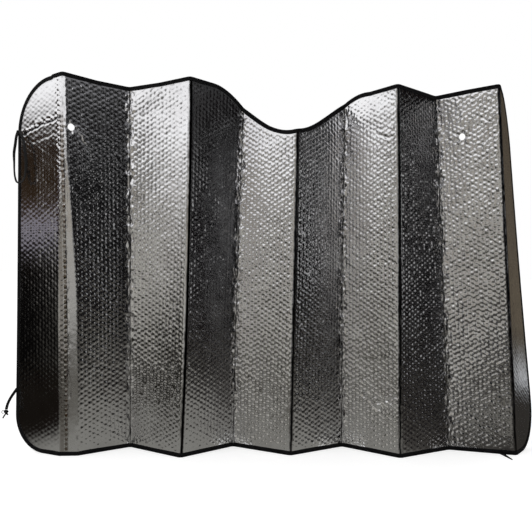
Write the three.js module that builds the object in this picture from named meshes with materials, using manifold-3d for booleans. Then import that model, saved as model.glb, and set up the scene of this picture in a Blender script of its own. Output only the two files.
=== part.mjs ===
// Folding car sunshade. One sheet of aluminised bubble foil is pressed flat along nine folds into ten
// panels, and a black tape is sewn round its edge. Two holes take suction cups, and an elastic loop and
// a knotted elastic strap hang from the left edge. The shade stands on its zigzag lower edge.
// Millimetres, +Z up, +X along the shade, -Y the side that odd folds come forward to.
import * as THREE from 'three';
import { mergeVertices } from 'three/addons/utils/BufferGeometryUtils.js';
import Module from 'manifold-3d';

const manifold = await Module();
manifold.setup();

// Cut of the sheet, measured over its tape when it is opened flat
const PANEL_WIDTH = 145;
const SHADE_HEIGHT = 800;
const TOP_CORNER_RADIUS = 112;
const LEFT_FOOT_CORNER_RADIUS = 78;
const RIGHT_FOOT_CORNER_RADIUS = 100;

// The dip for the car's mirror in the top edge is one wave of a cosine
const NOTCH_DEPTH = 98;
const NOTCH_HALF_WIDTH = 220;
const NOTCH_LEFT_OF_MIDDLE = 10;

// The top edge is cut by hand and wanders: how far it rises at its left end, at the middle and the far
// side of the first panel, and so on in half panels
const TOP_EDGE_RISE = [
  0, 0, 4.5, -3, -5.8, -1, 7.8, 3.5, -3, -3, 1.5, 1.7, -1, -6, -2.2, -1.5, -1.2, 2.2, 4, 0, 0,
];

// How far each panel is turned out of the shade's long axis, in degrees: at its foot, middle and top
const PANEL_TURNS = [
  [25, 30, 34],
  [38, 38, 32],
  [33, 24, 18],
  [43, 46, 40],
  [28, 29, 36],
  [34, 39, 40],
  [37, 38, 47],
  [31, 38, 44],
  [15, 30, 38],
  [54, 60, 65],
];
const PANEL_COUNT = PANEL_TURNS.length;
const SHADE_WIDTH = PANEL_WIDTH * PANEL_COUNT;
const NOTCH_MIDDLE = SHADE_WIDTH / 2 - NOTCH_LEFT_OF_MIDDLE;

// How far the left edge leans out of the upright, along X and along Y: at its foot, middle and top
const LEFT_EDGE_X = [0, 4, -6];
const LEFT_EDGE_Y = [0, -17, -4];

// Bubble foil, and the places where heat or stitching has pressed its bubbles flat
const FOIL_THICKNESS = 3.2;
const PRESSED_THICKNESS = 1.4;
const BUBBLE_RAMP = 3;
const SEAM_HALF_WIDTH = 4;

// The first fold is a single seam at the top and spreads into a wide flattened strip lower down
const WIDE_SEAM_HALF_WIDTH = 22;
const WIDE_SEAM_BELOW = 280;
const NARROW_SEAM_ABOVE = 720;

// Edge tape: a strip folded over the pressed edge of the foil
const TAPE_WIDTH = 9;
const TAPE_THICKNESS = 0.7;
const TAPE_EDGE_ROUNDING = 0.6;
const CLEARANCE = 0.3;

// Free end of the tape, lying forward on the ground beside the last fold
const TAIL_LENGTH = 45;
const TAIL_ROOT_WIDTH = 11;
const TAIL_TO_LAST_FOLD = 30;
const TAIL_TURN = 8;

// Holes for suction cups, with the foil pressed flat around them
const CUP_HOLE_DIAMETER = 15;
const CUP_SEAT_DIAMETER = 22;
const CUP_HOLES = [
  { panel: 1, fromFold: 16, belowTop: 110 },
  { panel: 8, fromFold: 58, belowTop: 97 },
];

// Woven elastic. A strap's route is a list of points beside the left edge: across, forward and height.
const ELASTIC_WIDTH = 6;
const ELASTIC_THICKNESS = 1.2;
const LOOP_ROUTE = [
  [1.5, -6.4, 694],
  [-1.5, -8.5, 681],
  [-3, -11, 663],
  [-4.5, -14, 643],
  [-3, -17, 622],
  [-1.5, -20, 604],
  [1.5, -23, 589],
  [7, -27, 579],
  [17, -31, 578],
  [25, -34, 587],
  [28, -35, 602],
  [28, -34, 620],
  [26.5, -32, 638],
  [23, -28.5, 657],
  [17.5, -22.5, 674],
  [11, -15.5, 686],
  [6.5, -10.4, 694],
];
const STRAP_ROUTE = [
  [3, -5.6, 134],
  [-1, -8.5, 127],
  [-6, -11, 118.5],
  [-10.5, -13, 109.5],
  [-14, -14.5, 100],
  [-16, -15.5, 90],
];
const KNOT_LENGTH = 10;
const KNOT_WIDTH = 8;
const KNOT_THICKNESS = 6;
const KNOT_ENDS = [
  { length: 14, lean: 30 },
  { length: 8, lean: -35 },
];

// Fineness of the mesh
const CORNER_STEPS = 8;
const ROWS = 8;
const COLUMNS_UNDER_NOTCH = 4;
const COLUMNS_ELSEWHERE = 1;
const HOLE_SIDES = 24;
const LOOP_STEPS = 64;
const STRAP_STEPS = 8;

// The folded shape

function throughThree([foot, middle, top], height) {
  const t = height / SHADE_HEIGHT;
  return foot * (1 - t) * (1 - 2 * t) + middle * 4 * t * (1 - t) + top * t * (2 * t - 1);
}

function leftEdge(height) {
  return new THREE.Vector2(throughThree(LEFT_EDGE_X, height), throughThree(LEFT_EDGE_Y, height));
}

function panelDirection(panel, height) {
  const turn = THREE.MathUtils.degToRad(throughThree(PANEL_TURNS[panel], height));
  const side = panel % 2 === 0 ? -1 : 1;
  return new THREE.Vector2(Math.cos(turn), side * Math.sin(turn));
}

function seamHalfWidth(fold, height) {
  if (fold !== 1) {
    return SEAM_HALF_WIDTH;
  }
  const narrowing = THREE.MathUtils.smoothstep(height, WIDE_SEAM_BELOW, NARROW_SEAM_ABOVE);
  return THREE.MathUtils.lerp(WIDE_SEAM_HALF_WIDTH, SEAM_HALF_WIDTH, narrowing);
}

// The shade seen from above at one height, as the points between its straight runs. Each fold gives
// two points, one on each side of its flattened seam.
function planAt(height) {
  const fold = leftEdge(height);
  const plan = [{ across: 0, at: fold.clone() }];
  for (let panel = 0; panel < PANEL_COUNT; panel += 1) {
    const direction = panelDirection(panel, height);
    const inAfter = panel > 0 ? seamHalfWidth(panel, height) : 0;
    const inBefore = panel < PANEL_COUNT - 1 ? seamHalfWidth(panel + 1, height) : 0;
    if (inAfter > 0) {
      plan.push({
        across: panel * PANEL_WIDTH + inAfter,
        at: fold.clone().addScaledVector(direction, inAfter),
      });
    }
    fold.addScaledVector(direction, PANEL_WIDTH);
    plan.push({
      across: (panel + 1) * PANEL_WIDTH - inBefore,
      at: fold.clone().addScaledVector(direction, -inBefore),
    });
  }
  return plan;
}

// The front of a run faces -Y
function frontOf(start, end) {
  const along = end.at.clone().sub(start.at).normalize();
  return new THREE.Vector2(along.y, -along.x);
}

// Where a point of the flat sheet lies once it is folded: so far across it, so high, and so far in
// front of its middle layer. At a crease the two faces meet in a mitre.
function folded(across, height, forward) {
  const plan = planAt(height);
  const nearly = 1e-6;
  let run = 0;
  while (run < plan.length - 2 && across > plan[run + 1].across + nearly) {
    run += 1;
  }
  const start = plan[run];
  const end = plan[run + 1];
  const share = (across - start.across) / (end.across - start.across);
  const at = start.at.clone().lerp(end.at, share);
  const front = frontOf(start, end);
  if (Math.abs(across - end.across) < nearly && run < plan.length - 2) {
    const next = frontOf(end, plan[run + 2]);
    const opening = 1 + front.dot(next);
    front.add(next).divideScalar(opening);
  }
  return new THREE.Vector3(at.x + front.x * forward, at.y + front.y * forward, height);
}

// The outline of the flat sheet

function riseOfTopEdge(across) {
  const halfPanels = (2 * across) / PANEL_WIDTH;
  const before = Math.min(Math.floor(halfPanels), TOP_EDGE_RISE.length - 2);
  return THREE.MathUtils.lerp(TOP_EDGE_RISE[before], TOP_EDGE_RISE[before + 1], halfPanels - before);
}

function topEdge(across) {
  const straight = SHADE_HEIGHT + riseOfTopEdge(across);
  const fromNotch = across - NOTCH_MIDDLE;
  if (Math.abs(fromNotch) >= NOTCH_HALF_WIDTH) {
    return { height: straight, stretch: 1 };
  }
  const phase = (Math.PI * fromNotch) / NOTCH_HALF_WIDTH;
  const slope = (NOTCH_DEPTH / 2) * (Math.PI / NOTCH_HALF_WIDTH) * Math.sin(phase);
  return {
    height: straight - (NOTCH_DEPTH / 2) * (1 + Math.cos(phase)),
    stretch: Math.hypot(1, slope),
  };
}

// A column runs up the sheet from its lower edge to its upper edge. foot and top give the flat point
// a distance in from the edge, and acrossAt gives its place at a height.

function cornerColumn(step, right) {
  const angle = (step / CORNER_STEPS) * (Math.PI / 2);
  const onSide = (across) => (right ? SHADE_WIDTH - across : across);
  const footRadius = right ? RIGHT_FOOT_CORNER_RADIUS : LEFT_FOOT_CORNER_RADIUS;
  const foot = (inward) => {
    const radius = footRadius - inward;
    const across = footRadius - radius * Math.cos(angle);
    return { across: onSide(across), height: footRadius - radius * Math.sin(angle) };
  };
  const top = (inward) => {
    const radius = TOP_CORNER_RADIUS - inward;
    const across = TOP_CORNER_RADIUS - radius * Math.cos(angle);
    return {
      across: onSide(across),
      height: SHADE_HEIGHT - TOP_CORNER_RADIUS + radius * Math.sin(angle),
    };
  };
  return { foot, top, pressed: false };
}

function uprightColumn(acrossAt, pressed) {
  const foot = (inward) => ({ across: acrossAt(inward), height: inward });
  const top = (inward) => {
    const edge = topEdge(acrossAt(SHADE_HEIGHT));
    const height = edge.height - inward * edge.stretch;
    return { across: acrossAt(height), height };
  };
  return { foot, top, acrossAt, pressed };
}

function columnsOfPanel(panel) {
  const start = panel * PANEL_WIDTH;
  const middle = start + PANEL_WIDTH / 2;
  const underNotch = Math.abs(middle - NOTCH_MIDDLE) < NOTCH_HALF_WIDTH;
  const count = underNotch ? COLUMNS_UNDER_NOTCH : COLUMNS_ELSEWHERE;
  const columns = [];
  for (let i = 1; i <= count; i += 1) {
    const across = start + (PANEL_WIDTH * i) / (count + 1);
    columns.push(uprightColumn(() => across, false));
  }
  return columns;
}

function columnsOfFold(fold) {
  const line = fold * PANEL_WIDTH;
  const beside = (side, extra) => (height) => line + side * (seamHalfWidth(fold, height) + extra);
  return [
    uprightColumn(beside(-1, BUBBLE_RAMP), false),
    uprightColumn(beside(-1, 0), true),
    uprightColumn(beside(1, 0), true),
    uprightColumn(beside(1, BUBBLE_RAMP), false),
  ];
}

function allColumns() {
  const columns = [];
  for (let step = 0; step <= CORNER_STEPS; step += 1) {
    columns.push(cornerColumn(step, false));
  }
  for (let fold = 1; fold < PANEL_COUNT; fold += 1) {
    columns.push(...columnsOfFold(fold));
    if (fold < PANEL_COUNT - 1) {
      columns.push(...columnsOfPanel(fold));
    }
  }
  for (let step = CORNER_STEPS; step >= 0; step -= 1) {
    columns.push(cornerColumn(step, true));
  }
  return columns;
}

// A point of a column, a row of ROWS up, between the two edges of the sheet less their inward margin
function onColumn(column, row, inward) {
  const foot = column.foot(inward);
  const top = column.top(inward);
  const share = row / ROWS;
  const height = THREE.MathUtils.lerp(foot.height, top.height, share);
  const between = THREE.MathUtils.lerp(foot.across, top.across, share);
  return { across: column.acrossAt ? column.acrossAt(height) : between, height };
}

// Stations once round the outline, from the left end of the lower edge and anticlockwise from the
// front. Each gives the flat point a distance in from the edge.
function allStations(columns) {
  const first = columns[0];
  const last = columns[columns.length - 1];
  const stations = columns.map((column) => ({ at: column.foot, pressed: column.pressed }));
  for (let row = 1; row < ROWS; row += 1) {
    stations.push({ at: (inward) => onColumn(last, row, inward), pressed: false });
  }
  for (let i = columns.length - 1; i >= 0; i -= 1) {
    stations.push({ at: columns[i].top, pressed: columns[i].pressed });
  }
  for (let row = ROWS - 1; row >= 1; row -= 1) {
    stations.push({ at: (inward) => onColumn(first, row, inward), pressed: false });
  }
  return stations;
}

// Meshes from corner points

function addQuad(corners, a, b, c, d) {
  corners.push(a, b, c, a, c, d);
}

function geometryOf(corners) {
  const geometry = new THREE.BufferGeometry().setFromPoints(corners);
  return mergeVertices(geometry, 1e-4);
}

function solidOf(geometry) {
  const bare = geometry.index ? geometry.clone() : geometry;
  bare.deleteAttribute('normal');
  bare.deleteAttribute('uv');
  const merged = mergeVertices(bare, 1e-4);
  return new manifold.Manifold(
    new manifold.Mesh({
      numProp: 3,
      vertProperties: merged.attributes.position.array,
      triVerts: new Uint32Array(merged.index.array),
    }),
  );
}

function geometryOfSolid(solid) {
  const mesh = solid.getMesh();
  const geometry = new THREE.BufferGeometry();
  geometry.setAttribute('position', new THREE.BufferAttribute(mesh.vertProperties, 3));
  geometry.setIndex(new THREE.BufferAttribute(mesh.triVerts, 1));
  return geometry;
}

function named(name, geometry, material) {
  geometry.computeVertexNormals();
  const mesh = new THREE.Mesh(geometry, material);
  mesh.name = name;
  return mesh;
}

const foilMaterial = new THREE.MeshStandardMaterial({ color: 0xd6d6da, roughness: 0.25, metalness: 1 });
const tapeMaterial = new THREE.MeshStandardMaterial({ color: 0x141414, roughness: 0.85, metalness: 0 });
const elasticMaterial = new THREE.MeshStandardMaterial({ color: 0x1c1a1c, roughness: 0.9, metalness: 0 });

// Foil sheet. Its rim is pressed thin under the tape and swells to full bubbles past it.

function cupHoleCutters({ panel, fromFold, belowTop }) {
  const across = panel * PANEL_WIDTH + fromFold;
  const height = SHADE_HEIGHT - belowTop;
  const back = folded(across, height, 0);
  const front = folded(across, height, 1).sub(back);
  const turn = new THREE.Quaternion().setFromUnitVectors(new THREE.Vector3(0, 1, 0), front.normalize());
  const disc = (diameter, nearFace, length) => {
    const middle = nearFace + length / 2;
    const cylinder = new THREE.CylinderGeometry(diameter / 2, diameter / 2, length, HOLE_SIDES);
    cylinder.applyQuaternion(turn);
    const centre = back.clone().addScaledVector(front, middle);
    cylinder.translate(centre.x, centre.y, centre.z);
    return solidOf(cylinder);
  };
  const reach = 2 * FOIL_THICKNESS;
  return [
    disc(CUP_HOLE_DIAMETER, -reach, 2 * reach),
    disc(CUP_SEAT_DIAMETER, PRESSED_THICKNESS / 2, reach),
    disc(CUP_SEAT_DIAMETER, -PRESSED_THICKNESS / 2 - reach, reach),
  ];
}

function foilSheet(columns, stations) {
  const half = FOIL_THICKNESS / 2;
  const pressedHalf = PRESSED_THICKNESS / 2;
  const rim = [
    { inward: TAPE_THICKNESS + CLEARANCE, half: pressedHalf },
    { inward: TAPE_WIDTH, half: pressedHalf },
    { inward: TAPE_WIDTH + BUBBLE_RAMP, half },
  ];
  const corners = [];
  const onRim = (station, level, side) => {
    const { across, height } = station.at(level.inward);
    const thickness = station.pressed ? pressedHalf : level.half;
    return folded(across, height, side * thickness);
  };
  stations.forEach((station, i) => {
    const next = stations[(i + 1) % stations.length];
    addQuad(
      corners,
      onRim(station, rim[0], 1),
      onRim(station, rim[0], -1),
      onRim(next, rim[0], -1),
      onRim(next, rim[0], 1),
    );
    for (let level = 0; level < rim.length - 1; level += 1) {
      const outer = rim[level];
      const inner = rim[level + 1];
      addQuad(
        corners,
        onRim(station, inner, 1),
        onRim(station, outer, 1),
        onRim(next, outer, 1),
        onRim(next, inner, 1),
      );
      addQuad(
        corners,
        onRim(next, inner, -1),
        onRim(next, outer, -1),
        onRim(station, outer, -1),
        onRim(station, inner, -1),
      );
    }
  });
  const margin = rim[rim.length - 1].inward;
  const onFace = (column, row, side) => {
    const { across, height } = onColumn(column, row, margin);
    return folded(across, height, side * (column.pressed ? pressedHalf : half));
  };
  for (let i = 0; i < columns.length - 1; i += 1) {
    const [left, right] = [columns[i], columns[i + 1]];
    for (let row = 0; row < ROWS; row += 1) {
      addQuad(
        corners,
        onFace(left, row, 1),
        onFace(right, row, 1),
        onFace(right, row + 1, 1),
        onFace(left, row + 1, 1),
      );
      addQuad(
        corners,
        onFace(left, row + 1, -1),
        onFace(right, row + 1, -1),
        onFace(right, row, -1),
        onFace(left, row, -1),
      );
    }
  }
  let sheet = solidOf(geometryOf(corners));
  CUP_HOLES.flatMap(cupHoleCutters).forEach((cutter) => {
    sheet = sheet.subtract(cutter);
  });
  return named('foil_sheet', geometryOfSolid(sheet), foilMaterial);
}

// Edge tape, folded round the rim of the foil, and its free end

function tapeTail() {
  const across = (PANEL_COUNT - 1) * PANEL_WIDTH - TAIL_TO_LAST_FOLD;
  const tapeFront = PRESSED_THICKNESS / 2 + CLEARANCE + TAPE_THICKNESS;
  const inTape = tapeFront - TAPE_THICKNESS / 2;
  const left = folded(across - TAIL_ROOT_WIDTH / 2, 0, inTape);
  const right = folded(across + TAIL_ROOT_WIDTH / 2, 0, inTape);
  const lean = THREE.MathUtils.degToRad(TAIL_TURN);
  const middle = left.clone().add(right).multiplyScalar(0.5);
  const tip = new THREE.Vector2(
    middle.x + TAIL_LENGTH * Math.sin(lean),
    middle.y - TAIL_LENGTH * Math.cos(lean),
  );
  const wedge = new THREE.Shape([
    new THREE.Vector2(left.x, left.y),
    new THREE.Vector2(tip.x - TAPE_THICKNESS, tip.y),
    new THREE.Vector2(tip.x + TAPE_THICKNESS, tip.y),
    new THREE.Vector2(right.x, right.y),
  ]);
  return new THREE.ExtrudeGeometry(wedge, { depth: 2 * TAPE_THICKNESS, bevelEnabled: false });
}

function edgeBinding(stations) {
  const inner = PRESSED_THICKNESS / 2 + CLEARANCE;
  const outer = inner + TAPE_THICKNESS;
  const round = TAPE_EDGE_ROUNDING;
  const section = [
    [round, outer],
    [TAPE_WIDTH, outer],
    [TAPE_WIDTH, inner],
    [TAPE_THICKNESS, inner],
    [TAPE_THICKNESS, -inner],
    [TAPE_WIDTH, -inner],
    [TAPE_WIDTH, -outer],
    [round, -outer],
    [0, round - outer],
    [0, outer - round],
  ];
  const corners = [];
  const onTape = (station, [inward, forward]) => {
    const { across, height } = station.at(inward);
    return folded(across, height, forward);
  };
  stations.forEach((station, i) => {
    const next = stations[(i + 1) % stations.length];
    section.forEach((point, j) => {
      const following = section[(j + 1) % section.length];
      addQuad(
        corners,
        onTape(station, point),
        onTape(next, point),
        onTape(next, following),
        onTape(station, following),
      );
    });
  });
  const tape = solidOf(geometryOf(corners)).add(solidOf(tapeTail()));
  return named('edge_binding', geometryOfSolid(tape), tapeMaterial);
}

// Elastic straps

function besideLeftEdge([across, forward, height]) {
  const edge = leftEdge(height);
  return new THREE.Vector3(edge.x + across, edge.y + forward, height);
}

// A flat band with its edges eased off, eight-sided in section. Its width lies in the picture plane.
function band(width, thickness) {
  const easing = thickness / 3;
  const [x, y] = [thickness / 2, width / 2];
  return new THREE.Shape([
    new THREE.Vector2(x, -y + easing),
    new THREE.Vector2(x, y - easing),
    new THREE.Vector2(x - easing, y),
    new THREE.Vector2(easing - x, y),
    new THREE.Vector2(-x, y - easing),
    new THREE.Vector2(-x, easing - y),
    new THREE.Vector2(easing - x, -y),
    new THREE.Vector2(x - easing, -y),
  ]);
}

function strap(name, route, thickness, steps) {
  const path = new THREE.CatmullRomCurve3(route.map(besideLeftEdge), false, 'centripetal');
  const geometry = new THREE.ExtrudeGeometry(band(ELASTIC_WIDTH, thickness), {
    steps,
    extrudePath: path,
    bevelEnabled: false,
  });
  geometry.deleteAttribute('normal');
  geometry.deleteAttribute('uv');
  return named(name, mergeVertices(geometry, 1e-4), elasticMaterial);
}

// The knot hangs from the strap's last point, and its two cut ends stick out below
function strapKnot() {
  const [end] = STRAP_ROUTE.slice(-1);
  const knot = new THREE.SphereGeometry(0.5, 12, 8);
  knot.scale(KNOT_WIDTH, KNOT_THICKNESS, KNOT_LENGTH);
  let solid = solidOf(knot);
  KNOT_ENDS.forEach(({ length, lean }) => {
    const tip = new THREE.CylinderGeometry(ELASTIC_THICKNESS, ELASTIC_WIDTH / 3, length, 8);
    tip.translate(0, -length / 2, 0);
    tip.rotateX(Math.PI / 2);
    tip.rotateY(THREE.MathUtils.degToRad(lean));
    tip.scale(1, 0.5, 1);
    solid = solid.add(solidOf(tip));
  });
  const geometry = geometryOfSolid(solid);
  const hanging = besideLeftEdge(end);
  geometry.translate(hanging.x, hanging.y, hanging.z - KNOT_LENGTH / 2 - CLEARANCE);
  return named('lower_strap_knot', geometry, elasticMaterial);
}

const columns = allColumns();
const stations = allStations(columns);
const sheetAndTape = [foilSheet(columns, stations), edgeBinding(stations)];

const shade = new THREE.Group();
shade.add(...sheetAndTape);

// The origin is on the ground under the middle of the sheet and its tape
const standing = new THREE.Box3().setFromObject(shade);
const middle = standing.getCenter(new THREE.Vector3());
shade.position.set(-middle.x, -middle.y, -standing.min.z);

shade.add(
  strap('upper_strap_loop', LOOP_ROUTE, ELASTIC_THICKNESS, LOOP_STEPS),
  strap('lower_strap', STRAP_ROUTE, 2 * ELASTIC_THICKNESS, STRAP_STEPS),
  strapKnot(),
);

export default shade;
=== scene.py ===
import math

import bmesh
import bpy
import numpy as np
from mathutils import Matrix, Vector


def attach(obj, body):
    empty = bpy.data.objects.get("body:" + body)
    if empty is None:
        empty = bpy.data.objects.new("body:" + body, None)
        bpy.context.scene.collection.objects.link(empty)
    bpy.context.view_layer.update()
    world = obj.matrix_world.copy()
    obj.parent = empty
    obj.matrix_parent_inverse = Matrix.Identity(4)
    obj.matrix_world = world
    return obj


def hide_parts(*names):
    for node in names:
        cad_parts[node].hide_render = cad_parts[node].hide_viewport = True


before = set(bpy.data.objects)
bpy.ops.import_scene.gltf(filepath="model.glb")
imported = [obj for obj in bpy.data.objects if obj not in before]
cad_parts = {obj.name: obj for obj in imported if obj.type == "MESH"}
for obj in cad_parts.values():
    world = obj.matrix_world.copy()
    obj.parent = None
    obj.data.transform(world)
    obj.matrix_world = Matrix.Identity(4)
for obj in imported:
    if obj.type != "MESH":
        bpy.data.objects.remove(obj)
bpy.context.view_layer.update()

# Camera. It stands a metre and a half in front of the shade, level with its middle. It is tipped up by
# a hair and rolled by one degree, which gives the slight lean that the upright folds have.
camera_data = bpy.data.cameras.new("camera")
camera_data.sensor_width = 36
camera_data.lens = 45.29
camera = bpy.data.objects.new("camera", camera_data)
bpy.context.scene.collection.objects.link(camera)
camera_place = Matrix.Translation((-0.0465, -1.4885, 0.4052))
camera_tip = Matrix.Rotation(math.pi / 2 + 0.0025, 4, "X")
camera_roll = Matrix.Rotation(0.0165, 4, "Z")
camera.matrix_world = camera_place @ camera_tip @ camera_roll
bpy.context.scene.camera = camera

# The shade's left edge, which carries both straps. It is the free side of the first panel and leans a
# little, so the straps are laid as metres across and forward from it, at a height above the floor.
SHADE_HEIGHT = 0.8
LEFT_EDGE_X = [0, 0.004, -0.006]
LEFT_EDGE_Y = [0, -0.017, -0.004]
MIDDLE_OF_SHADE = [0.588385, 0.020331]


def through_three(three, height):
    """A smooth change from the foot through the middle to the top of the shade."""
    foot, middle, top = three
    t = height / SHADE_HEIGHT
    return foot * (1 - t) * (1 - 2 * t) + middle * 4 * t * (1 - t) + top * t * (2 * t - 1)


def left_edge(height):
    x = through_three(LEFT_EDGE_X, height) - MIDDLE_OF_SHADE[0]
    y = through_three(LEFT_EDGE_Y, height) - MIDDLE_OF_SHADE[1]
    return np.stack([x, y], axis=-1)


def beside_left_edge(route):
    """Places in the room, for points given as across and forward from the left edge, and height."""
    route = np.array(route, float)
    places = route.copy()
    places[:, :2] += left_edge(route[:, 2])
    return places


# Upper strap. A woven elastic band, six millimetres wide, is sewn into the edge tape by both ends and
# hangs as a loop that holds the rolled shade. It turns its edge forward on its way down, and lies flat
# again on its way back. Its twist is given in degrees.
ELASTIC_WIDTH = 0.006
ELASTIC_THICKNESS = 0.0012
LOOP_ROUTE = [
    (0.0015, -0.0064, 0.694),
    (-0.0015, -0.0085, 0.681),
    (-0.003, -0.011, 0.663),
    (-0.0045, -0.014, 0.643),
    (-0.003, -0.017, 0.622),
    (-0.0015, -0.02, 0.604),
    (0.0015, -0.023, 0.589),
    (0.007, -0.027, 0.579),
    (0.017, -0.031, 0.578),
    (0.025, -0.034, 0.587),
    (0.028, -0.035, 0.602),
    (0.028, -0.034, 0.62),
    (0.0265, -0.032, 0.638),
    (0.023, -0.0285, 0.657),
    (0.0175, -0.0225, 0.674),
    (0.011, -0.0155, 0.686),
    (0.0065, -0.0104, 0.694),
]
LOOP_TWIST = [0, 5, 15, 40, 72, 80, 76, 66, 50, 36, 24, 14, 8, 4, 2, 0, 0]


def blend(p, q, start, end, t):
    return p * (end - t) / (end - start) + q * (t - start) / (end - start)


def smooth_route(points, steps):
    """A centripetal Catmull-Rom curve through the points, as the straps are laid."""
    points = np.asarray(points, float)
    first = 2 * points[0] - points[1]
    last = 2 * points[-1] - points[-2]
    padded = np.vstack([first, points, last])
    knots = np.concatenate([[0], np.cumsum(np.linalg.norm(np.diff(padded, axis=0), axis=1) ** 0.5)])
    curve = []
    for i in range(len(points) - 1):
        p0, p1, p2, p3 = padded[i : i + 4]
        k0, k1, k2, k3 = knots[i : i + 4]
        for t in np.linspace(k1, k2, steps, endpoint=False):
            middle = blend(p1, p2, k1, k2, t)
            before = blend(blend(p0, p1, k0, k1, t), middle, k0, k2, t)
            after = blend(middle, blend(p2, p3, k2, k3, t), k1, k3, t)
            curve.append(blend(before, after, k1, k2, t))
    curve.append(points[-1])
    return np.array(curve)


def run_along(line):
    """How far along the line each of its points lies."""
    return np.concatenate([[0], np.cumsum(np.linalg.norm(np.diff(line, axis=0), axis=1))])


def twist_along(twist, line):
    """The twist at each point of a line, from one value for each place of its route."""
    return np.interp(np.linspace(0, len(twist) - 1, len(line)), np.arange(len(twist)), twist)


def linear(hex_colour):
    """An sRGB hex colour as the linear colour that a shader takes."""
    parts = [int(hex_colour[i : i + 2], 16) / 255 for i in (1, 3, 5)]
    return [p / 12.92 if p <= 0.04045 else ((p + 0.055) / 1.055) ** 2.4 for p in parts] + [1.0]


def add_node(tree, kind, inputs=None, **settings):
    """Adds a shader node. inputs maps a socket to a value, or to the output that is linked to it."""
    made = tree.nodes.new("ShaderNode" + kind)
    for name, value in settings.items():
        setattr(made, name, value)
    for socket, value in (inputs or {}).items():
        if isinstance(value, bpy.types.NodeSocket):
            tree.links.new(value, made.inputs[socket])
        else:
            made.inputs[socket].default_value = value
    return made


def new_material(name):
    """An empty node material and its tree."""
    material = bpy.data.materials.new(name)
    material.use_nodes = True
    tree = material.node_tree
    tree.nodes.clear()
    return material, tree


def mesh_piece(name, points, faces, material, uv=None, smooth=True):
    """A mesh object from numpy arrays. Every face has as many corners as faces has columns."""
    points = np.asarray(points, np.float32)
    faces = np.asarray(faces, np.int32)
    mesh = bpy.data.meshes.new(name)
    corners = faces.shape[1]
    mesh.vertices.add(len(points))
    mesh.vertices.foreach_set("co", points.ravel())
    mesh.loops.add(faces.size)
    mesh.loops.foreach_set("vertex_index", faces.ravel())
    mesh.polygons.add(len(faces))
    mesh.polygons.foreach_set("loop_start", np.arange(0, faces.size, corners, dtype=np.int32))
    mesh.polygons.foreach_set("use_smooth", np.full(len(faces), smooth))
    if uv is not None:
        layer = mesh.uv_layers.new(name="along_and_across")
        layer.uv.foreach_set("vector", np.asarray(uv, np.float32)[faces.ravel()].ravel())
    mesh.update(calc_edges=True)
    mesh.validate()
    mesh.materials.append(material)
    piece = bpy.data.objects.new(name, mesh)
    bpy.context.scene.collection.objects.link(piece)
    return piece


def yarn_wave(tree, axis, spacing, shape):
    """A wave with one crest for each yarn. X is metres along the cloth, and Y is metres across it."""
    place = add_node(tree, "UVMap", uv_map="along_and_across")
    parts = add_node(tree, "SeparateXYZ", {0: place.outputs[0]})
    to_turns = {0: parts.outputs[axis], 1: 2 * math.pi / spacing}
    turns = add_node(tree, "Math", to_turns, operation="MULTIPLY")
    return add_node(tree, "Math", {0: turns.outputs[0]}, operation=shape).outputs[0]


def black_yarn(tree, shade, colours, relief, looks):
    """The look of black yarn: two close tones, the relief of its weave or twist, and how it takes light."""
    colour = add_node(tree, "ValToRGB", {0: shade})
    for element, hex_colour in zip(colour.color_ramp.elements, colours):
        element.color = linear(hex_colour)
    bump = add_node(tree, "Bump", relief)
    inputs = {"Base Color": colour.outputs[0], "Normal": bump.outputs[0], **looks}
    yarn = add_node(tree, "BsdfPrincipled", inputs)
    add_node(tree, "OutputMaterial", {"Surface": yarn.outputs[0]})


def woven_elastic():
    """Woven elastic: polyester yarn round rubber cores. Ribs run along it, and it has a dull sheen. Its
    tone follows the weave's relief: painted shade darkens the hollows.
    """
    material, tree = new_material("woven_elastic")
    rib_spacing = 0.001
    pick_spacing = 0.0007
    relief_depth = 0.00015
    ribs = yarn_wave(tree, "Y", rib_spacing, "COSINE")
    picks = yarn_wave(tree, "X", pick_spacing, "SINE")
    weave = add_node(tree, "Math", {0: ribs, 1: picks, 2: ribs}, operation="MULTIPLY_ADD").outputs[0]
    # Painted shade: the tone follows the weave, darker in its hollows.
    shade = add_node(tree, "MapRange", {"Value": weave, "From Min": -2.0, "From Max": 2.0})
    black_yarn(
        tree,
        shade.outputs[0],
        ["#030303", "#0e0d0e"],
        {"Height": weave, "Strength": 0.6, "Distance": relief_depth},
        {"Roughness": 0.75, "Specular IOR Level": 0.3, "Sheen Weight": 0.06, "Sheen Roughness": 0.5},
    )
    return material


def band_section(width, thickness, count=6):
    """Half-round edges and flat faces, as points across and through the band."""
    half_thickness = thickness / 2
    straight = width / 2 - half_thickness
    section = []
    for side in (1, -1):
        for angle in np.linspace(-90, 90, count):
            turn = math.radians(angle)
            across = straight + half_thickness * math.cos(turn)
            section.append((side * across, side * half_thickness * math.sin(turn)))
    return np.array(section)


def swept_faces(steps, corners, closed_run=False, closed_section=True):
    """The faces between each section of a swept mesh and the next, where a section has so many corners."""
    ring = np.arange(corners if closed_section else corners - 1)
    following = (ring + 1) % corners
    here = np.arange(steps if closed_run else steps - 1)[:, None] * corners
    there = (here + corners) % (steps * corners)
    quads = np.stack([here + ring, here + following, there + following, there + ring], axis=-1)
    return quads.reshape(-1, 4)


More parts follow.
